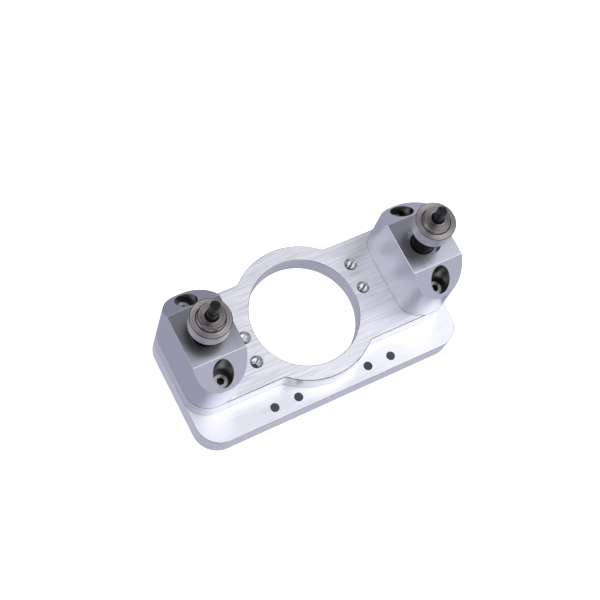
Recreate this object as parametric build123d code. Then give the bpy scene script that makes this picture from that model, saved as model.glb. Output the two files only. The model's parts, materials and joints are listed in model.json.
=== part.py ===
from build123d import *
import os

# Watch movement holder. Millimetres, +Z up.
# Every feature is placed from the axis of the movement bore, X along the long
# axis, -Y towards the open ledge. The finished pieces are then moved so that
# the origin is the middle of the footprint on the underside.

# Base plate and ring plate
half_length = 52.3
plate_half_width = 18.8
ledge_reach = 30.0
base_thickness = 9.4
ring_thickness = 7.5
base_ledge_corner_r = 9.2
end_corner_r = 8.6
bore_r = 20.0
bulge_r = 25.6
bulge_blend_r = 2.5
base_slot_r = 24.6
base_slot_corner_r = 2.0
edge_break = 0.2
tower_edge_break = 0.12
bore_edge_break = 0.25

# Tapped holes beside the bore, M4
tapped_x = 24.2
tapped_pitch = 9.7
tapped_r = 1.65
tapped_depth = 6.0
tapped_mouth_r = 2.3

# Plugs in the ledge
plug_xs = (14.2, 23.7)
plug_y = -25.55
plug_r = 1.65
plug_depth = 4.0
plug_recess = 0.05

# Towers
tower_width = 19.6
tower_height = 26.0
tower_flat_half = 9.9
tower_slope_deg = 49.0
tower_x = half_length - tower_width / 2
recess_r = 6.1
recess_depth = 3.0
bush_r = 4.5
bush_length = 10.0
chamber_r = 5.6

# Tower screws, M3 x 25 socket cap
screw_y = 14.2
screw_r = 1.5
screw_clearance_r = 1.7
screw_length = 25.0
screw_head_r = 2.75
screw_head_height = 3.0
screw_head_chamfer = 0.3
screw_socket_width = 2.5
screw_socket_depth = 1.4
screw_seat_z = 27.0
screw_tap_spare = 0.6
counterbore_r = 3.7

# Plunger, spring and seat
running_clearance = 0.05
neck_r = 4.05
flange_r = 5.3
flange_thickness = 2.0
spigot_r = 2.6
spigot_length = 5.0
neck_top_z = 49.3
stud_r = 1.9
stud_top_z = 61.2
pin_r = 1.7
pin_top_z = 66.8
pin_chamfer = 0.5
shoulder_chamfer = 0.4
seat_r = 5.5
seat_bore_r = 2.0
seat_thickness = 1.2
wire_r = 0.45
coil_r = 4.0
coil_turns = 5
coil_end_gap = 0.05

# Rest cap: outer ring, adjusting nut and retaining clip
cap_tops = {"left": 54.9, "right": 58.1}
cap_r = 7.15
cap_thickness = 5.7
cap_chamfer = 0.25
cap_bore_r = 4.88
cap_bore_chamfer = 0.3
cap_shoulder_depth = 2.5
cap_pocket_r = 6.0
clip_groove_r = 6.45
clip_groove_depths = (4.05, 4.85)
nut_r = 4.8
nut_rise = 2.4
nut_chamfer = 0.2
nut_flat_distance = 4.0
nut_flange_r = 5.9
nut_flange_depth = 4.0
nut_bore_r = 1.97
nut_mouth_r = 2.35
nut_mouth_depth = 0.35
nut_turned_deg = {"left": 55.0, "right": 145.4}
clip_r = 6.4
clip_inner_r = 4.6
clip_depths = (4.1, 4.8)
clip_gap = 3.0

side_sign = {"left": -1, "right": 1}

# Heights that follow from the sizes above
ring_top_z = base_thickness + ring_thickness
tower_top_z = ring_top_z + tower_height
recess_floor_z = tower_top_z - recess_depth
chamber_top_z = recess_floor_z - bush_length
flange_bottom_z = chamber_top_z - flange_thickness
seat_top_z = ring_top_z + seat_thickness
footprint_shift_y = (ledge_reach - bulge_r) / 2


def rod(radius, z_low, z_high, x=0.0, y=0.0):
    """Upright cylinder between two heights."""
    return Pos(x, y, z_low) * extrude(Circle(radius), z_high - z_low)


def cone(low_r, high_r, z_low, z_high, x=0.0, y=0.0):
    """Upright cone between two heights."""
    height = z_high - z_low
    return Pos(x, y, (z_low + z_high) / 2) * Cone(low_r, high_r, height)


def outer_edges_at(body, z):
    """Edges of the outline of the flat face at height z."""
    face = body.faces().filter_by(Plane.XY).filter_by(lambda f: abs(f.center().Z - z) < 1e-4)[0]
    return face.outer_wire().edges()


def screw_places():
    """Plan positions of the four tower screws."""
    return [(sx * tower_x, sy * screw_y) for sx in (-1, 1) for sy in (-1, 1)]


def tapped_places():
    """Plan positions of the four tapped holes, two on each side of the bore."""
    places = []
    for sign in (-1, 1):
        for step in (0, 1):
            places.append((sign * tapped_x, sign * step * tapped_pitch))
    return places


def plug_places():
    """Plan positions of the ledge plugs."""
    return [(sign * x, plug_y) for sign in (-1, 1) for x in plug_xs]


def base_outline():
    """Base plate outline: round corners, larger ones at the ledge."""
    depth = ledge_reach + plate_half_width
    sheet = Pos(0, (plate_half_width - ledge_reach) / 2) * Rectangle(2 * half_length, depth)
    near = sheet.vertices().sort_by(Axis.Y)[:2]
    sheet = fillet(near, base_ledge_corner_r)
    far = sheet.vertices().sort_by(Axis.Y)[-2:]
    return fillet(far, end_corner_r)


def base_slot():
    """Opening of the base: round under the bore, open at the back edge."""
    reach = plate_half_width + base_slot_r
    slot = Circle(base_slot_r) + Pos(0, reach / 2) * Rectangle(2 * base_slot_r, reach)
    return slot


def build_base_plate():
    sheet = base_outline() - base_slot()
    tips = [v for v in sheet.vertices() if abs(abs(v.X) - base_slot_r) < 1e-3 and v.Y > 1]
    sheet = fillet(tips, base_slot_corner_r)
    plate = extrude(sheet, base_thickness)
    plate = chamfer(outer_edges_at(plate, base_thickness), edge_break)
    plate = chamfer(outer_edges_at(plate, 0), edge_break)
    tap_bottom = screw_seat_z - screw_length - screw_tap_spare
    for x, y in screw_places():
        plate -= rod(screw_r, tap_bottom, base_thickness, x, y)
    for x, y in plug_places():
        plate -= rod(plug_r, base_thickness - plug_depth, base_thickness, x, y)
    return plate


def ring_outline():
    """Long plate with round ends and a round bulge about the bore."""
    sheet = RectangleRounded(2 * half_length, 2 * plate_half_width, end_corner_r)
    sheet += Circle(bulge_r)
    meet_x = (bulge_r**2 - plate_half_width**2) ** 0.5
    corners = [v for v in sheet.vertices() if abs(abs(v.X) - meet_x) < 1e-3]
    return fillet(corners, bulge_blend_r)


def build_ring_plate():
    plate = Pos(0, 0, base_thickness) * extrude(ring_outline(), ring_thickness)
    plate = chamfer(outer_edges_at(plate, ring_top_z), edge_break)
    plate -= rod(bore_r, base_thickness, ring_top_z)
    plate -= cone(bore_r, bore_r + bore_edge_break, ring_top_z - bore_edge_break, ring_top_z)
    mouth_depth = tapped_mouth_r - tapped_r
    for x, y in tapped_places():
        plate -= rod(tapped_r, ring_top_z - tapped_depth, ring_top_z, x, y)
        plate -= cone(tapped_r, tapped_mouth_r, ring_top_z - mouth_depth, ring_top_z, x, y)
    for x, y in screw_places():
        plate -= rod(screw_clearance_r, base_thickness, ring_top_z, x, y)
    return plate


def tower_blank():
    """Tower about its own axis: round ends cut by two slopes."""
    plan = RectangleRounded(tower_width, 2 * plate_half_width, end_corner_r)
    column = Pos(0, 0, ring_top_z) * extrude(plan, tower_height)
    fall = (plate_half_width - tower_flat_half) * tan_deg(tower_slope_deg)
    rim_z = tower_top_z - fall
    corners = [
        (-plate_half_width, ring_top_z),
        (plate_half_width, ring_top_z),
        (plate_half_width, rim_z),
        (tower_flat_half, tower_top_z),
        (-tower_flat_half, tower_top_z),
        (-plate_half_width, rim_z),
    ]
    profile = make_face(Polyline(*corners, close=True))
    envelope = extrude(Plane.YZ * profile, tower_width / 2, both=True)
    body = column & envelope
    body = chamfer(outer_edges_at(body, tower_top_z), tower_edge_break)
    return chamfer(outer_edges_at(body, ring_top_z), edge_break)


def tan_deg(angle):
    """Tangent of an angle in degrees."""
    run = Vector(1, 0, 0).rotate(Axis.Z, angle)
    return run.Y / run.X


def build_tower(side):
    body = Pos(side_sign[side] * tower_x, 0, 0) * tower_blank()
    x = side_sign[side] * tower_x
    body -= rod(recess_r, recess_floor_z, tower_top_z, x)
    body -= rod(bush_r, chamber_top_z, recess_floor_z, x)
    body -= rod(chamber_r, ring_top_z, chamber_top_z, x)
    for y in (-screw_y, screw_y):
        body -= rod(screw_clearance_r, ring_top_z, screw_seat_z, x, y)
        body -= rod(counterbore_r, screw_seat_z, tower_top_z, x, y)
    return body


def build_screw(x, y):
    """Socket head cap screw standing on its seat in a tower."""
    head_top = screw_seat_z + screw_head_height
    head = rod(screw_head_r, screw_seat_z, head_top)
    head = chamfer(head.edges().sort_by(Axis.Z)[-1], screw_head_chamfer)
    across_corners_r = screw_socket_width / 2 / cos_30()
    socket = extrude(RegularPolygon(across_corners_r, 6), screw_socket_depth)
    head -= Pos(0, 0, head_top - screw_socket_depth) * socket
    shank = rod(screw_r, screw_seat_z - screw_length, screw_seat_z)
    return Pos(x, y, 0) * (head + shank)


def cos_30():
    """Ratio of across-flats to across-corners of a hexagon."""
    return 3**0.5 / 2


def build_tower_screws(side):
    x = side_sign[side] * tower_x
    return [build_screw(x, y) for y in (-screw_y, screw_y)]


def build_plugs():
    top = base_thickness - plug_recess
    bottom = base_thickness - plug_depth
    return [rod(plug_r, bottom, top, x, y) for x, y in plug_places()]


def build_bush(side):
    x = side_sign[side] * tower_x
    sleeve = rod(bush_r, chamber_top_z, recess_floor_z, x)
    return sleeve - rod(neck_r + running_clearance, chamber_top_z, recess_floor_z, x)


def build_spring_seat(side):
    x = side_sign[side] * tower_x
    disc = rod(seat_r, ring_top_z, seat_top_z, x)
    return disc - rod(seat_bore_r, ring_top_z, seat_top_z, x)


def build_spring(side):
    """Open coil between the seat and the plunger's flange."""
    low = seat_top_z + wire_r + coil_end_gap
    high = flange_bottom_z - wire_r - coil_end_gap
    path = Helix((high - low) / coil_turns, high - low, coil_r)
    start = Plane(path @ 0, z_dir=path % 0)
    coil = sweep(start * Circle(wire_r), path=path, is_frenet=True)
    return Pos(side_sign[side] * tower_x, 0, low) * coil


def build_plunger(side):
    """Flange, neck, stud and locating pin turned from one bar."""
    stem = rod(flange_r, flange_bottom_z, chamber_top_z)
    stem += rod(spigot_r, flange_bottom_z - spigot_length, flange_bottom_z)
    stem += rod(neck_r, chamber_top_z, neck_top_z - shoulder_chamfer)
    stem += cone(neck_r, neck_r - shoulder_chamfer, neck_top_z - shoulder_chamfer, neck_top_z)
    stem += rod(stud_r, neck_top_z, stud_top_z)
    stem += rod(pin_r, stud_top_z, pin_top_z - pin_chamfer)
    stem += cone(pin_r, pin_r - pin_chamfer, pin_top_z - pin_chamfer, pin_top_z)
    return Pos(side_sign[side] * tower_x, 0, 0) * stem


def build_cap_ring(side):
    """Outer ring that the work rests on; the nut carries it."""
    top = cap_tops[side]
    bottom = top - cap_thickness
    shoulder = top - cap_shoulder_depth
    ring = rod(cap_r, bottom, top)
    ring = chamfer(ring.edges().filter_by(GeomType.CIRCLE), cap_chamfer)
    ring -= rod(cap_bore_r, shoulder, top)
    ring -= cone(cap_bore_r, cap_bore_r + cap_bore_chamfer, top - cap_bore_chamfer, top)
    ring -= rod(cap_pocket_r, bottom, shoulder)
    ring -= rod(clip_groove_r, top - clip_groove_depths[1], top - clip_groove_depths[0])
    return Pos(side_sign[side] * tower_x, 0, 0) * ring


def build_adjusting_nut(side):
    """Flanged nut on the stud, with two wrench flats above the ring."""
    top = cap_tops[side]
    crown = top + nut_rise
    nut = rod(nut_r, top - cap_shoulder_depth, crown)
    nut = chamfer(nut.edges().sort_by(Axis.Z)[-1], nut_chamfer)
    waste = Pos(0, 0, top + nut_rise) * Box(4 * nut_r, 4 * nut_r, 2 * nut_rise)
    for sign in (-1, 1):
        nut -= Pos(sign * (nut_flat_distance + 2 * nut_r), 0, 0) * waste
    nut += rod(nut_flange_r, top - nut_flange_depth, top - cap_shoulder_depth)
    nut -= rod(nut_bore_r, top - nut_flange_depth, crown)
    nut -= cone(nut_bore_r, nut_mouth_r, crown - nut_mouth_depth, crown)
    return Pos(side_sign[side] * tower_x, 0, 0) * Rot(0, 0, nut_turned_deg[side]) * nut


def build_cap_clip(side):
    """Internal retaining ring under the nut's flange."""
    top = cap_tops[side]
    low = top - clip_depths[1]
    high = top - clip_depths[0]
    clip = rod(clip_r, low, high) - rod(clip_inner_r, low, high)
    clip -= Pos(0, clip_r, (low + high) / 2) * Box(clip_gap, 2 * clip_r, clip_r)
    return Pos(side_sign[side] * tower_x, 0, 0) * clip


def all_parts():
    parts = {
        "base_plate": build_base_plate(),
        "ring_plate": build_ring_plate(),
        "ledge_plugs": build_plugs(),
    }
    builders = {
        "tower": build_tower,
        "tower_screws": build_tower_screws,
        "bush": build_bush,
        "spring_seat": build_spring_seat,
        "spring": build_spring,
        "plunger": build_plunger,
        "cap_ring": build_cap_ring,
        "adjusting_nut": build_adjusting_nut,
        "cap_clip": build_cap_clip,
    }
    for side in side_sign:
        for name, builder in builders.items():
            parts[side + "_" + name] = builder(side)
    return parts


def export_node(node, shape):
    """Write one node; a list of equal pieces is written as one group."""
    pieces = shape if isinstance(shape, list) else [shape]
    moved = [Pos(0, footprint_shift_y, 0) * piece for piece in pieces]
    solid = moved[0] if len(moved) == 1 else Compound(children=moved)
    export_step(solid, "parts/" + node + ".step")


os.makedirs("parts", exist_ok=True)
for node, shape in all_parts().items():
    export_node(node, shape)
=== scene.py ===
import json
import math

import bmesh
import bpy
from mathutils import Matrix, Vector


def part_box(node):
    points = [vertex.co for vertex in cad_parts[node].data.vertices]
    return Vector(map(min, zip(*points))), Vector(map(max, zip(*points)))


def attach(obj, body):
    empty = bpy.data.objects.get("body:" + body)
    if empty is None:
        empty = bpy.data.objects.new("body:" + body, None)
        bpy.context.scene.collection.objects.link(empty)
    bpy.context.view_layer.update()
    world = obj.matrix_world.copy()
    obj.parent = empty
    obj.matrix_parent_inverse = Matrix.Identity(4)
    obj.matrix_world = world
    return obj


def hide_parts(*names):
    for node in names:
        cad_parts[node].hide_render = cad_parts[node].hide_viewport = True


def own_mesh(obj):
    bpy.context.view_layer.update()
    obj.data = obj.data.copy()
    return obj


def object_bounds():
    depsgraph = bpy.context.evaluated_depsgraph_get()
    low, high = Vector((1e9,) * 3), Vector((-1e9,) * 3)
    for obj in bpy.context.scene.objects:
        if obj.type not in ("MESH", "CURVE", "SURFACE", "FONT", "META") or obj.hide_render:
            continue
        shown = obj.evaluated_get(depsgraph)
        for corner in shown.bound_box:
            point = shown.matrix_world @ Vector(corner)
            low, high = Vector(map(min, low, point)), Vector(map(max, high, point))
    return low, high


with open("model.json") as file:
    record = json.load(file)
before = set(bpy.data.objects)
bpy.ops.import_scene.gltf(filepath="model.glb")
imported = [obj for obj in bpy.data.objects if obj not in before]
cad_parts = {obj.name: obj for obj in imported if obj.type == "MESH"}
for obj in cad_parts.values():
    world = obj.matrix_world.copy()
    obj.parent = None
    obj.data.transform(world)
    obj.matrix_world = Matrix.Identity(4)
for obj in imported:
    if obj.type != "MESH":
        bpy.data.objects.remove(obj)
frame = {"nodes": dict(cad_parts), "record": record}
cad_low, cad_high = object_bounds()
nodes = frame["nodes"]
scene = bpy.context.scene

SIDES = ("left", "right")
MM = 0.001

# Sizes that the materials mask by, and those of the added pieces, in metres
HEAD_R = 2.75 * MM            # socket cap screw head
SOCKET_R = 1.47 * MM          # round that holds the hexagon socket
COUNTERBORE_R = 3.72 * MM
RECESS_R = 6.1 * MM
MOUTH_R = 2.4 * MM            # chamfered mouth of a tapped hole
BORE_EDGE_R = 20.5 * MM       # the movement bore with its edge break
SEAM_HALF = 0.28 * MM         # dark joint line between two plates, partly painted shade in the crease
FOOT_SEAM_HALF = 0.3 * MM     # dark joint line under a tower, partly painted shade in the crease
SOFT = 0.1 * MM               # how softly a mask ends
RING_PITCH = 0.45 * MM        # lathe marks on turned steel
THREAD_R = 1.65 * MM
THREAD_DEPTH = 0.28 * MM
THREAD_PITCH = 0.7 * MM
THREAD_TOP = 0.4 * MM         # below the ring plate's top
THREAD_FOOT = 5.8 * MM
SPRING_WIRE_R = 0.45 * MM
SPRING_TURNS = 6.0
SPRING_CLOSED = 1.0           # touching turns at each end
# Painted shade on each tower's top: the stretch of Y, counted from the recess, over which the top
# darkens towards the back
TOWER_PAINTED_SHADE = {"left": (-17 * MM, 4 * MM), "right": (-10 * MM, 9 * MM)}

ALONG_Y = (0.0, 1.0, 0.0)
ALONG_Z = (0.0, 0.0, 1.0)


# ---------------------------------------------------------------- node helpers

def new_material(name):
    """A node material with its Principled shader, both empty of settings."""
    mat = bpy.data.materials.new(name)
    mat.use_nodes = True
    tree = mat.node_tree
    tree.nodes.clear()
    out = tree.nodes.new("ShaderNodeOutputMaterial")
    shader = tree.nodes.new("ShaderNodeBsdfPrincipled")
    tree.links.new(shader.outputs[0], out.inputs["Surface"])
    return mat, tree, shader


def node(tree, kind, *values, **settings):
    """A node with its settings made, and its inputs linked or filled in order."""
    made = tree.nodes.new("ShaderNode" + kind)
    for key, value in settings.items():
        setattr(made, key, value)
    for socket, value in zip(made.inputs, values):
        feed(tree, socket, value)
    return made


def feed(tree, socket, value):
    """Links a socket to another node's output, or sets it to a plain value."""
    if value is None:
        return
    if isinstance(value, bpy.types.NodeSocket):
        tree.links.new(value, socket)
    else:
        socket.default_value = value


def maths(tree, operation, a, b=None):
    return node(tree, "Math", a, b, operation=operation).outputs[0]


def product(tree, a, b):
    return maths(tree, "MULTIPLY", a, b)


def inverse(tree, a):
    return maths(tree, "SUBTRACT", 1.0, a)


def height_of(tree, vector):
    """The Z of a point or a direction."""
    return node(tree, "SeparateXYZ", vector).outputs[2]


def remap(tree, value, low, high, to_low, to_high, smooth=False):
    """Maps low..high on to to_low..to_high, held at both ends."""
    made = node(tree, "MapRange", value, low, high, to_low, to_high)
    if smooth:
        made.interpolation_type = "SMOOTHSTEP"
    return made.outputs[0]


def blend_colour(tree, factor, a, b):
    made = tree.nodes.new("ShaderNodeMix")
    made.data_type = "RGBA"
    feed(tree, made.inputs[0], factor)
    feed(tree, made.inputs[6], a)
    feed(tree, made.inputs[7], b)
    return made.outputs[2]


def blend_value(tree, factor, a, b):
    made = tree.nodes.new("ShaderNodeMix")
    feed(tree, made.inputs[0], factor)
    feed(tree, made.inputs[2], a)
    feed(tree, made.inputs[3], b)
    return made.outputs[0]


def place(tree):
    """The point on the node's own mesh, which is the row frame at rest."""
    return node(tree, "TexCoord").outputs["Object"]


def grain(tree, point, scale, detail=3.0, roughness=0.6):
    """Noise stretched by a scale for each axis, in features per metre."""
    mapped = node(tree, "Mapping", point, None, None, scale).outputs[0]
    made = node(tree, "TexNoise", noise_dimensions="3D")
    feed(tree, made.inputs["Vector"], mapped)
    feed(tree, made.inputs["Scale"], 1.0)
    feed(tree, made.inputs["Detail"], detail)
    feed(tree, made.inputs["Roughness"], roughness)
    return made.outputs["Fac"]


def bump(tree, shader, height, distance):
    made = tree.nodes.new("ShaderNodeBump")
    feed(tree, made.inputs["Strength"], 1.0)
    feed(tree, made.inputs["Distance"], distance)
    feed(tree, made.inputs["Height"], height)
    tree.links.new(made.outputs[0], shader.inputs["Normal"])


def rgba(r, g, b):
    return (r, g, b, 1.0)


def shade_of(colour, share):
    """A colour darkened to a share of itself."""
    return rgba(*(c * share for c in colour[:3]))


# ------------------------------------------------------------------- materials

def axis_radius(tree, point, axis):
    """Distance of a point from an upright axis, and the offset from it."""
    centred = node(tree, "VectorMath", point, (axis[0], axis[1], 0.0), operation="SUBTRACT")
    parts = node(tree, "SeparateXYZ", centred.outputs[0])
    flat = node(tree, "CombineXYZ", parts.outputs[0], parts.outputs[1], 0.0).outputs[0]
    return node(tree, "VectorMath", flat, operation="LENGTH").outputs["Value"], flat


def near_axes(tree, point, axes, radius, soft):
    """1 inside any of the upright bores at these axes, and 0 outside them all."""
    found = 0.0
    for axis in axes:
        away, _ = axis_radius(tree, point, axis)
        inside = remap(tree, away, radius, radius + soft, 1.0, 0.0)
        found = maths(tree, "MAXIMUM", found, inside)
    return found


def near_height(tree, point, level, half):
    """1 at a height, falling to 0 at half a width from it."""
    away = maths(tree, "ABSOLUTE", maths(tree, "SUBTRACT", height_of(tree, point), level))
    return remap(tree, away, half * 0.5, half, 1.0, 0.0, smooth=True)


def tilt(tree):
    """How level the surface is, from 0 on a wall to 1 on a top or an underside."""
    normal = node(tree, "TexCoord").outputs["Normal"]
    return maths(tree, "ABSOLUTE", height_of(tree, normal))


def near_slope(tree, level, low, high, full):
    """full on surfaces tilted about 45 degrees, such as edge breaks, and 0 on the others."""
    away = maths(tree, "ABSOLUTE", maths(tree, "SUBTRACT", level, 0.7))
    return remap(tree, away, low, high, full, 0.0)


def brushed_plate(name, colour, dark, roughness, streak, depth, seams, bores=(), edge=0.1, pale=0.0):
    """Milled aluminium, brushed along X on its level faces and lined along its walls.

    Its edge breaks carry painted shade, its seams a dark joint line that is partly painted shade,
    its bores are smooth, and pale paints light on its walls, whitening them.
    """
    mat, tree, shader = new_material(name)
    point = place(tree)
    level = tilt(tree)
    slanted = near_slope(tree, level, 0.1, 0.24, 1.0)
    level = remap(tree, level, 0.6, 0.9, 0.0, 1.0, smooth=True)
    upright = inverse(tree, level)
    top = grain(tree, point, streak, 4.0, 0.7)
    wall = grain(tree, point, (60.0, 60.0, 5200.0), 2.0, 0.6)
    marks = blend_value(tree, level, wall, top)
    cloud = grain(tree, point, (45.0, 60.0, 45.0), 2.0, 0.5)
    tone = blend_colour(tree, remap(tree, marks, 0.36, 0.62, 0.0, 1.0), dark, colour)
    tone = blend_colour(tree, remap(tree, cloud, 0.35, 0.65, 0.0, 0.16), tone, dark)
    # Painted light: pale whitens the walls
    tone = blend_colour(tree, product(tree, upright, pale), tone, rgba(0.985, 0.985, 1.0))
    # Painted shade on the edge breaks, halved at the tapped holes' mouths and left off the movement
    # bore's edge
    inside = near_axes(tree, point, bores, MOUTH_R, SOFT)
    spared = near_axes(tree, point, [bore_axis], BORE_EDGE_R, SOFT)
    spared = maths(tree, "MAXIMUM", spared, product(tree, inside, 0.5))
    mark = product(tree, slanted, inverse(tree, spared))
    # Dark joint lines at the seams, partly painted shade in the crease
    for height in seams:
        joint = product(tree, near_height(tree, point, height, SEAM_HALF), upright)
        mark = maths(tree, "MAXIMUM", mark, joint)
    tone = blend_colour(tree, product(tree, mark, 0.9), tone, shade_of(dark, edge))
    feed(tree, shader.inputs["Base Color"], tone)
    rough = remap(tree, marks, 0.3, 0.7, roughness * 0.82, roughness * 1.15)
    feed(tree, shader.inputs["Roughness"], blend_value(tree, inside, rough, 0.16))
    shader.inputs["Metallic"].default_value = 1.0
    shader.inputs["Anisotropic"].default_value = 0.6
    across = node(tree, "Mix", data_type="VECTOR")
    feed(tree, across.inputs[0], level)
    feed(tree, across.inputs[4], ALONG_Z)
    feed(tree, across.inputs[5], ALONG_Y)
    tree.links.new(across.outputs[1], shader.inputs["Tangent"])
    bump(tree, shader, marks, depth)
    return mat


def satin_block(name, colour, dark, roughness, foot, top, screws, recess, painted_shade_span):
    """Fine-milled aluminium, with painted shade in its bores and a dark joint line at its foot that
    is partly painted shade.

    Its top has painted shade, darker towards the back, over the stretch of Y given by its last
    argument, counted from the recess.
    """
    mat, tree, shader = new_material(name)
    point = place(tree)
    level = tilt(tree)
    upright = remap(tree, level, 0.1, 0.4, 1.0, 0.0)
    lines = grain(tree, point, (2400.0, 2400.0, 60.0), 2.0, 0.6)
    fine = grain(tree, point, (3400.0, 90.0, 3400.0), 2.0, 0.5)
    wave = grain(tree, point, (900.0, 120.0, 900.0), 1.0, 0.5)
    cloud = grain(tree, point, (80.0, 80.0, 60.0), 2.0, 0.5)
    marks = blend_value(tree, upright, remap(tree, fine, 0.0, 1.0, 0.25, 0.75),
                        remap(tree, lines, 0.0, 1.0, 0.34, 0.66))
    tone = blend_colour(tree, remap(tree, marks, 0.35, 0.65, 0.0, 1.0), dark, colour)
    tone = blend_colour(tree, remap(tree, cloud, 0.35, 0.7, 0.0, 0.2), tone, dark)
    # Painted shade: the walls are darker than the top
    tone = blend_colour(tree, product(tree, upright, 0.6), tone, rgba(0.64, 0.64, 0.69))

    # Painted shade: the top darkens towards the back of the tower, counted from the recess
    back = node(tree, "SeparateXYZ", point).outputs[1]
    painted_shade = remap(tree, back, recess[1] + painted_shade_span[0], recess[1] + painted_shade_span[1], 0.0, 0.74, smooth=True)
    painted_shade = product(tree, painted_shade, remap(tree, level, 0.9, 0.97, 0.0, 1.0))
    tone = blend_colour(tree, painted_shade, tone, rgba(0.14, 0.142, 0.16))
    # Painted shade: the top edge break is darkened, dimming its highlight
    painted_rim_shade = remap(tree, height_of(tree, point), top - 0.2 * MM, top - 0.1 * MM, 0.0, 0.5)
    painted_rim_shade = product(tree, painted_rim_shade, remap(tree, level, 0.93, 0.97, 1.0, 0.0))
    tone = blend_colour(tree, painted_rim_shade, tone, rgba(0.30, 0.30, 0.33))

    # Painted shade in the counterbores and the recess round the post, over a reamed grain
    drilled = near_axes(tree, point, screws, COUNTERBORE_R, 0.06 * MM)
    bored = near_axes(tree, point, [recess], RECESS_R, 0.06 * MM)
    reamed = remap(tree, grain(tree, point, (500.0, 500.0, 3000.0), 2.0, 0.6), 0.35, 0.65, 0.0, 1.0)
    bore_shade = blend_colour(tree, reamed, rgba(0.20, 0.195, 0.19), rgba(0.36, 0.35, 0.345))
    tone = blend_colour(tree, drilled, tone, bore_shade)
    bore_shade = blend_colour(tree, reamed, rgba(0.34, 0.34, 0.37), rgba(0.46, 0.46, 0.49))
    tone = blend_colour(tree, bored, tone, bore_shade)
    # Dark joint line at the tower's foot, partly painted shade in the crease
    joint = product(tree, near_height(tree, point, foot, FOOT_SEAM_HALF), 0.8)
    tone = blend_colour(tree, joint, tone, shade_of(dark, 0.3))
    feed(tree, shader.inputs["Base Color"], tone)

    rough = remap(tree, marks, 0.3, 0.7, roughness * 0.9, roughness * 1.1)
    wall = remap(tree, level, 0.1, 0.4, 1.0, 0.0, smooth=True)
    rough = blend_value(tree, wall, rough, 0.31)
    rough = blend_value(tree, maths(tree, "MAXIMUM", drilled, bored), rough, 0.3)
    feed(tree, shader.inputs["Roughness"], rough)
    shader.inputs["Metallic"].default_value = 1.0
    bump(tree, shader, wave, 0.001 * MM)
    return mat


def turned(name, axis, colour, dark, roughness, spread=0.93):
    """Steel turned on a lathe: rings about its axis, painted light on its upright faces and painted
    shade on its edge breaks.

    The rings spread its gloss along their radius, and spread=0 leaves it round.
    """
    mat, tree, shader = new_material(name)
    point = place(tree)
    normal = node(tree, "TexCoord").outputs["Normal"]
    level = tilt(tree)
    radius, flat = axis_radius(tree, point, axis)
    along = maths(tree, "ADD", radius, height_of(tree, point))
    rings = node(tree, "TexNoise", noise_dimensions="1D")
    feed(tree, rings.inputs["W"], product(tree, along, 1.0 / RING_PITCH))
    feed(tree, rings.inputs["Scale"], 1.0)
    feed(tree, rings.inputs["Detail"], 2.0)
    marks = rings.outputs["Fac"]
    smudge = grain(tree, point, (260.0, 260.0, 260.0), 3.0, 0.6)
    tone = blend_colour(tree, remap(tree, marks, 0.35, 0.65, 0.0, 1.0), dark, colour)
    tone = blend_colour(tree, remap(tree, smudge, 0.4, 0.7, 0.0, 0.3), tone, dark)
    # Painted light on the upright faces
    painted_band_light = remap(tree, level, 0.1, 0.3, 0.65, 0.0)
    tone = blend_colour(tree, painted_band_light, tone, rgba(0.74, 0.725, 0.76))
    # Painted shade on the edge breaks
    painted_edge_shade = near_slope(tree, level, 0.12, 0.24, 0.85)
    tone = blend_colour(tree, painted_edge_shade, tone, shade_of(dark, 0.25))
    feed(tree, shader.inputs["Base Color"], tone)
    rough = remap(tree, smudge, 0.3, 0.7, roughness * 0.8, roughness * 1.25)
    feed(tree, shader.inputs["Roughness"], rough)
    shader.inputs["Metallic"].default_value = 1.0
    shader.inputs["Anisotropic"].default_value = spread
    groove = node(tree, "VectorMath", ALONG_Z, flat, operation="CROSS_PRODUCT").outputs[0]
    across = node(tree, "VectorMath", groove, normal, operation="CROSS_PRODUCT").outputs[0]
    world = node(tree, "VectorTransform", across, vector_type="VECTOR",
                 convert_from="OBJECT", convert_to="WORLD")
    tree.links.new(world.outputs[0], shader.inputs["Tangent"])
    bump(tree, shader, marks, 0.003 * MM)
    return mat


def black_oxide(name, colour, worn, roughness, metallic):
    """Blackened steel, a little glossy, rubbed through in fine specks."""
    mat, tree, shader = new_material(name)
    point = place(tree)
    lines = grain(tree, point, (900.0, 900.0, 6000.0), 2.0, 0.6)
    smudge = grain(tree, point, (500.0, 500.0, 500.0), 3.0, 0.6)
    speck = grain(tree, point, (4000.0, 4000.0, 4000.0), 1.0, 0.5)
    tone = blend_colour(tree, remap(tree, speck, 0.62, 0.72, 0.0, 0.6), colour, worn)
    feed(tree, shader.inputs["Base Color"], tone)
    rough = remap(tree, smudge, 0.3, 0.7, roughness * 0.8, roughness * 1.3)
    feed(tree, shader.inputs["Roughness"], rough)
    shader.inputs["Metallic"].default_value = metallic
    shader.inputs["Specular IOR Level"].default_value = 0.3
    bump(tree, shader, lines, 0.003 * MM)
    return mat


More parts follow.
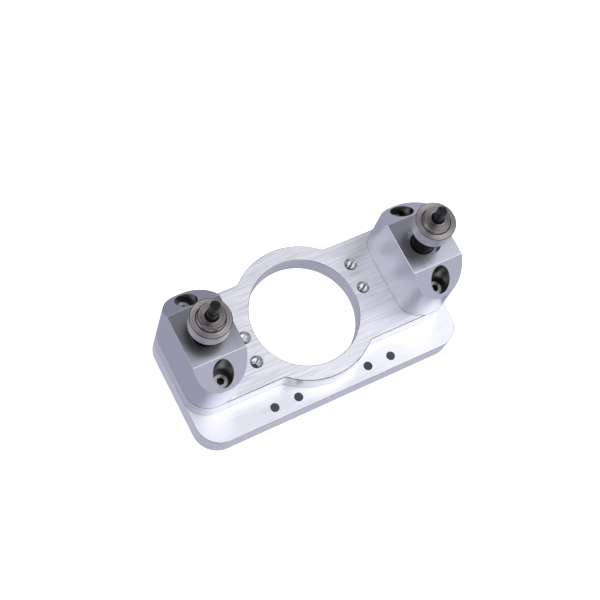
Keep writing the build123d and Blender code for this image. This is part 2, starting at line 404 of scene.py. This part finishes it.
def screw_steel(name, axes, top):
    """Bright zinc-plated screws, with painted shade in the broached socket."""
    mat, tree, shader = new_material(name)
    point = place(tree)
    smudge = grain(tree, point, (700.0, 700.0, 700.0), 3.0, 0.6)
    plating = remap(tree, smudge, 0.35, 0.65, 0.0, 1.0)
    tone = blend_colour(tree, plating, rgba(0.62, 0.61, 0.60), rgba(0.78, 0.77, 0.76))
    # Painted shade inside the hexagon socket, below its top
    socket = near_axes(tree, point, axes, SOCKET_R, 0.02 * MM)
    socket_shade_depth = remap(tree, height_of(tree, point), top - 0.12 * MM, top - 0.04 * MM, 1.0, 0.0)
    tone = blend_colour(tree, product(tree, socket, socket_shade_depth), tone, rgba(0.035, 0.034, 0.034))
    feed(tree, shader.inputs["Base Color"], tone)
    feed(tree, shader.inputs["Roughness"], remap(tree, smudge, 0.3, 0.7, 0.2, 0.34))
    shader.inputs["Metallic"].default_value = 1.0
    bump(tree, shader, smudge, 0.004 * MM)
    return mat


def moulded(name, colour, pale, roughness):
    """Matt black moulded plastic with a fine pebbled skin."""
    mat, tree, shader = new_material(name)
    point = place(tree)
    skin = grain(tree, point, (3800.0, 3800.0, 3800.0), 2.0, 0.55)
    smudge = grain(tree, point, (400.0, 400.0, 400.0), 2.0, 0.5)
    tone = blend_colour(tree, remap(tree, skin, 0.35, 0.7, 0.0, 1.0), colour, pale)
    feed(tree, shader.inputs["Base Color"], tone)
    rough = remap(tree, smudge, 0.3, 0.7, roughness * 0.85, roughness * 1.1)
    feed(tree, shader.inputs["Roughness"], rough)
    bump(tree, shader, skin, 0.01 * MM)
    return mat


def paint(name, mat):
    """Puts one material on every slot of a CAD node."""
    obj = nodes[name]
    if not obj.material_slots:
        obj.data.materials.append(mat)
    for slot in obj.material_slots:
        slot.material = mat


def middle(name):
    low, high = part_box(name)
    return (low + high) / 2


def mount(name):
    return next(m for m in frame["record"]["mounts"] if m["name"] == name)


def hole_axes(name):
    """The two tapped holes of a line pattern along Y."""
    found = mount(name)
    x, y = found["pos_m"][:2]
    half = found["dims"]["spacing_y_mm"] * MM / 2
    return [(x, y - half), (x, y + half)]


tapped = [axis for side in SIDES for axis in hole_axes(side + "_tapped_holes")]
bore_axis = tuple(mount("movement_bore")["pos_m"][:2])
base_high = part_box("base_plate")[1]
ring_low, ring_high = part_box("ring_plate")

paint("ring_plate", brushed_plate(
    "ring_brushed", rgba(0.97, 0.97, 0.985), rgba(0.70, 0.70, 0.74), 0.40,
    streak=(80.0, 3000.0, 3000.0), depth=0.01 * MM, seams=(ring_low.z, ring_high.z), bores=tapped))
paint("base_plate", brushed_plate(
    "base_brushed", rgba(0.92, 0.92, 0.945), rgba(0.84, 0.84, 0.88), 0.42,
    streak=(60.0, 1500.0, 1500.0), depth=0.005 * MM, seams=(base_high.z,), edge=0.45, pale=0.7))
for side in SIDES:
    screw_low, screw_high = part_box(side + "_tower_screws")
    tower_low, tower_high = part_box(side + "_tower")
    post = middle(side + "_plunger")
    axis = (post.x, post.y)
    screws = [(post.x, screw_low.y + HEAD_R), (post.x, screw_high.y - HEAD_R)]
    paint(side + "_tower", satin_block(
        side + "_tower_satin", rgba(0.82, 0.83, 0.89), rgba(0.72, 0.73, 0.80), 0.30,
        tower_low.z, tower_high.z, screws, axis, TOWER_PAINTED_SHADE[side]))
    paint(side + "_tower_screws", screw_steel(side + "_screw_steel", screws, screw_high.z))
    paint(side + "_cap_ring", turned(
        side + "_cap_turned", axis, rgba(0.50, 0.475, 0.465), rgba(0.30, 0.28, 0.27), 0.33))
    paint(side + "_adjusting_nut", turned(
        side + "_nut_turned", axis, rgba(0.40, 0.375, 0.36), rgba(0.15, 0.14, 0.13), 0.31))
black = black_oxide("plunger_blackened",
                    rgba(0.010, 0.010, 0.012), rgba(0.05, 0.048, 0.05), 0.3, metallic=0.15)
dark_steel = black_oxide("spring_steel",
                         rgba(0.16, 0.155, 0.15), rgba(0.30, 0.29, 0.28), 0.3, metallic=1.0)
steel = black_oxide("seat_steel",
                    rgba(0.50, 0.49, 0.47), rgba(0.30, 0.29, 0.28), 0.2, metallic=1.0)
plastic = moulded("plug_plastic", rgba(0.040, 0.040, 0.052), rgba(0.060, 0.060, 0.074), 0.6)
sleeve = moulded("sleeve_plastic", rgba(0.004, 0.004, 0.005), rgba(0.010, 0.010, 0.012), 0.4)
for side in SIDES:
    paint(side + "_plunger", black)
    paint(side + "_spring", dark_steel)
    paint(side + "_spring_seat", steel)
    paint(side + "_cap_clip", dark_steel)
    paint(side + "_bush", sleeve)
paint("ledge_plugs", plastic)


# --------------------------------------------------------- threads and springs

def join_rows(bm, rows):
    """A closed tube through rows of vertices, with all its normals outward."""
    around = len(rows[0])
    for a, b in zip(rows, rows[1:]):
        for k in range(around):
            n = (k + 1) % around
            bm.faces.new((a[k], b[k], b[n], a[n]))
    bm.faces.new(rows[0])
    bm.faces.new(list(reversed(rows[-1])))
    bmesh.ops.recalc_face_normals(bm, faces=bm.faces)


def add_piece(name, bm, mat):
    """An object in the scene from a finished mesh."""
    mesh = bpy.data.meshes.new(name)
    bm.to_mesh(mesh)
    bm.free()
    mesh.materials.append(mat)
    obj = bpy.data.objects.new(name, mesh)
    scene.collection.objects.link(obj)
    return obj


def make_thread(name, axis, top, bottom, mat):
    """The ridge of an internal thread, with 30 degree flanks, thinned to nothing at both ends."""
    steps = 40
    crest = THREAD_PITCH * 0.04
    flank_slope = math.tan(math.radians(30.0))
    outer = THREAD_R + 0.02 * MM
    count = int(((top - bottom) / THREAD_PITCH - 1.0) * steps)
    bm = bmesh.new()
    rows = []
    for i in range(count + 1):
        angle = 2 * math.pi * i / steps
        z = bottom + THREAD_PITCH * 0.5 + THREAD_PITCH * i / steps
        depth = THREAD_DEPTH * min(1.0, i / steps, (count - i) / steps)
        inner = THREAD_R - depth
        rise = crest + depth * flank_slope
        rows.append([
            bm.verts.new((axis[0] + r * math.cos(angle), axis[1] + r * math.sin(angle), z + dz))
            for r, dz in ((outer, -rise), (inner, -crest), (inner, crest), (outer, rise))
        ])
    join_rows(bm, rows)
    for face in bm.faces:
        face.smooth = True
    for a, b in zip(rows, rows[1:]):
        for low, high in zip(a, b):
            bm.edges.get((low, high)).smooth = False
    obj = add_piece(name, bm, mat)
    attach(obj, "frame")


def make_spring(side, mat):
    """A compression spring with closed ends, which replaces the CAD coil.
    """
    node_name = side + "_spring"
    low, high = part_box(node_name)
    centre = (low + high) / 2
    coil_r = (high.x - low.x) / 2 - SPRING_WIRE_R
    length = high.z - low.z
    end_pitch = 2.05 * SPRING_WIRE_R
    spare = length - 2 * SPRING_WIRE_R - 2 * SPRING_CLOSED * end_pitch
    open_pitch = spare / (SPRING_TURNS - 2 * SPRING_CLOSED)
    steps, around = 48, 12
    bm = bmesh.new()
    rows = []
    z = low.z + SPRING_WIRE_R
    for i in range(int(SPRING_TURNS * steps) + 1):
        turn = i / steps
        angle = 2 * math.pi * turn
        row = []
        for k in range(around):
            wire_angle = 2 * math.pi * k / around
            r = coil_r + SPRING_WIRE_R * math.cos(wire_angle)
            row.append(bm.verts.new((centre.x + r * math.cos(angle), centre.y + r * math.sin(angle),
                                     z + SPRING_WIRE_R * math.sin(wire_angle))))
        rows.append(row)
        closed = turn < SPRING_CLOSED or turn >= SPRING_TURNS - SPRING_CLOSED
        z += (end_pitch if closed else open_pitch) / steps
    join_rows(bm, rows)
    for face in bm.faces:
        face.smooth = len(face.verts) == 4
    obj = add_piece(side + "_coil_spring", bm, mat)
    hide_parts(node_name)
    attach(obj, "frame")
    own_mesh(obj)


for side in SIDES:
    make_spring(side, dark_steel)

thread_metal = turned("thread_bright", tapped[0],
                      rgba(0.95, 0.95, 0.97), rgba(0.88, 0.88, 0.90), 0.2, spread=0.0)
for number, axis in enumerate(tapped, 1):
    make_thread(f"tapped_thread_{number}", axis,
                ring_high.z - THREAD_TOP, ring_high.z - THREAD_FOOT, thread_metal)


# ------------------------------------------------------------- floor and light

def make_floor():
    """A sheet of white paper under the object, which the metal doesn't reflect."""
    bm = bmesh.new()
    bmesh.ops.create_circle(bm, cap_ends=True, radius=4.0, segments=96)
    mat, tree, shader = new_material("floor_paper")
    speckle = grain(tree, place(tree), (300.0, 300.0, 300.0), 2.0, 0.5)
    tone = blend_colour(tree, speckle, rgba(0.90, 0.90, 0.90), rgba(0.93, 0.93, 0.93))
    feed(tree, shader.inputs["Base Color"], tone)
    shader.inputs["Roughness"].default_value = 0.9
    shader.inputs["Specular IOR Level"].default_value = 0.0
    shader.inputs["Emission Color"].default_value = rgba(1.0, 1.0, 1.0)
    shader.inputs["Emission Strength"].default_value = 0.75
    obj = add_piece("floor", bm, mat)
    obj.location.z = cad_low.z
    obj.visible_glossy = False
    obj.visible_diffuse = False


def softbox(name, towards, distance, width, height, power):
    """A white area light in a direction from the object's middle, facing it."""
    aim = (cad_low + cad_high) / 2
    data = bpy.data.lights.new(name, "AREA")
    data.shape = "RECTANGLE"
    data.size = width
    data.size_y = height
    data.energy = power
    obj = bpy.data.objects.new(name, data)
    scene.collection.objects.link(obj)
    direction = Vector(towards).normalized()
    obj.location = aim + direction * distance
    obj.rotation_mode = "QUATERNION"
    obj.rotation_quaternion = (-direction).to_track_quat("-Z", "Y")
    obj.visible_camera = False


def lobe(tree, ray, towards, inner, outer, level):
    """A soft patch of the studio round one direction, full inside the inner angle in degrees."""
    centre = tuple(Vector(towards).normalized())
    spot = node(tree, "VectorMath", ray, centre, operation="DOT_PRODUCT")
    start, full = (math.cos(math.radians(angle)) for angle in (outer, inner))
    return remap(tree, spot.outputs["Value"], start, full, 0.0, level, smooth=True)


def make_world():
    """A studio round the object: lavender below, paler overhead, and white to the camera."""
    world = bpy.data.worlds.new("studio")
    scene.world = world
    world.use_nodes = True
    tree = world.node_tree
    tree.nodes.clear()
    out = tree.nodes.new("ShaderNodeOutputWorld")
    ray = node(tree, "TexCoord").outputs["Generated"]
    ramp = tree.nodes.new("ShaderNodeValToRGB")
    tree.links.new(remap(tree, height_of(tree, ray), -1.0, 1.0, 0.0, 1.0), ramp.inputs[0])
    stops = ramp.color_ramp
    stops.elements[0].position = 0.0
    stops.elements[0].color = rgba(*STUDIO[0][1])
    stops.elements[1].position = 1.0
    stops.elements[1].color = rgba(*STUDIO[-1][1])
    for position, colour in STUDIO[1:-1]:
        stops.elements.new(position).color = rgba(*colour)
    level = 1.0
    for towards, inner, outer, amount in LOBES:
        level = maths(tree, "ADD", level, lobe(tree, ray, towards, inner, outer, amount))
    strength = maths(tree, "MAXIMUM", level, 0.05)
    studio = node(tree, "Background", ramp.outputs[0], strength)
    paper = node(tree, "Background", rgba(1.0, 1.0, 1.0), 1.0)
    camera_ray = node(tree, "LightPath").outputs["Is Camera Ray"]
    mixed = node(tree, "MixShader", camera_ray, studio.outputs[0], paper.outputs[0])
    tree.links.new(mixed.outputs[0], out.inputs[0])


# Colour of the studio by height, from straight below at 0 to straight above at 1
STUDIO = (
    (0.0, (0.42, 0.42, 0.53)),
    (0.35, (0.42, 0.42, 0.53)),
    (0.53, (0.60, 0.60, 0.68)),
    (0.57, (0.56, 0.56, 0.64)),
    (0.60, (0.26, 0.26, 0.30)),
    (0.645, (0.26, 0.26, 0.30)),
    (0.70, (0.88, 0.88, 0.93)),
    (0.84, (0.88, 0.88, 0.94)),
    (1.0, (0.76, 0.77, 0.84)),
)
# Patches: direction, inner and outer angle, and how much brighter or darker
LOBES = (
    ((0.30, -0.52, 0.79), 12.0, 38.0, 0.6),
    ((-0.83, 0.25, 0.50), 8.0, 17.0, 1.2),
    ((-0.05, 0.90, -0.42), 12.0, 28.0, -0.6),
    ((0.75, 0.60, 0.35), 10.0, 30.0, 0.8),
    ((0.235, 0.42, 0.875), 6.0, 15.0, -0.9),
    ((0.47, -0.12, 0.87), 6.0, 19.0, 1.3),
    ((-0.44, -0.35, 0.83), 10.0, 21.0, -0.9),
    ((-0.66, 0.12, 0.74), 8.0, 20.0, 0.8),
    ((0.62, 0.42, 0.66), 8.0, 20.0, -0.7),
    ((-0.12, 0.10, 0.99), 6.0, 16.0, -0.6),
)


make_floor()
make_world()
softbox("key", (0.25, -0.62, 0.80), 1.0, 1.1, 0.8, 1.2)
softbox("side", (-0.83, 0.25, 0.50), 1.0, 0.6, 0.4, 0.4)
softbox("back", (0.75, 0.55, 0.42), 1.0, 0.8, 0.5, 0.5)

scene.view_settings.view_transform = "Standard"
scene.view_settings.look = "None"


# ---------------------------------------------------------------------- camera

LENS = 89.388                 # mm on a 36 mm sensor
CAMERA_AT = (-0.169238, -0.128961, 0.499438)
CAMERA_AZIMUTH, CAMERA_ELEVATION, CAMERA_ROLL = (
    math.radians(degrees) for degrees in (-51.338, 65.734, 25.775))


def make_camera():
    """The camera, turned about Z, raised, and rolled about its own view."""
    data = bpy.data.cameras.new("camera")
    data.sensor_width = 36.0
    data.lens = LENS
    data.clip_start = 0.01
    data.clip_end = 50.0
    obj = bpy.data.objects.new("camera", data)
    scene.collection.objects.link(obj)
    back = Vector((math.sin(CAMERA_AZIMUTH) * math.cos(CAMERA_ELEVATION),
                   -math.cos(CAMERA_AZIMUTH) * math.cos(CAMERA_ELEVATION),
                   math.sin(CAMERA_ELEVATION)))
    level = Vector((math.cos(CAMERA_AZIMUTH), math.sin(CAMERA_AZIMUTH), 0.0))
    right = level * math.cos(CAMERA_ROLL) + back.cross(level) * math.sin(CAMERA_ROLL)
    turn = Matrix((right, back.cross(right), back)).transposed()
    obj.matrix_world = Matrix.Translation(CAMERA_AT) @ turn.to_4x4()
    scene.camera = obj


make_camera()
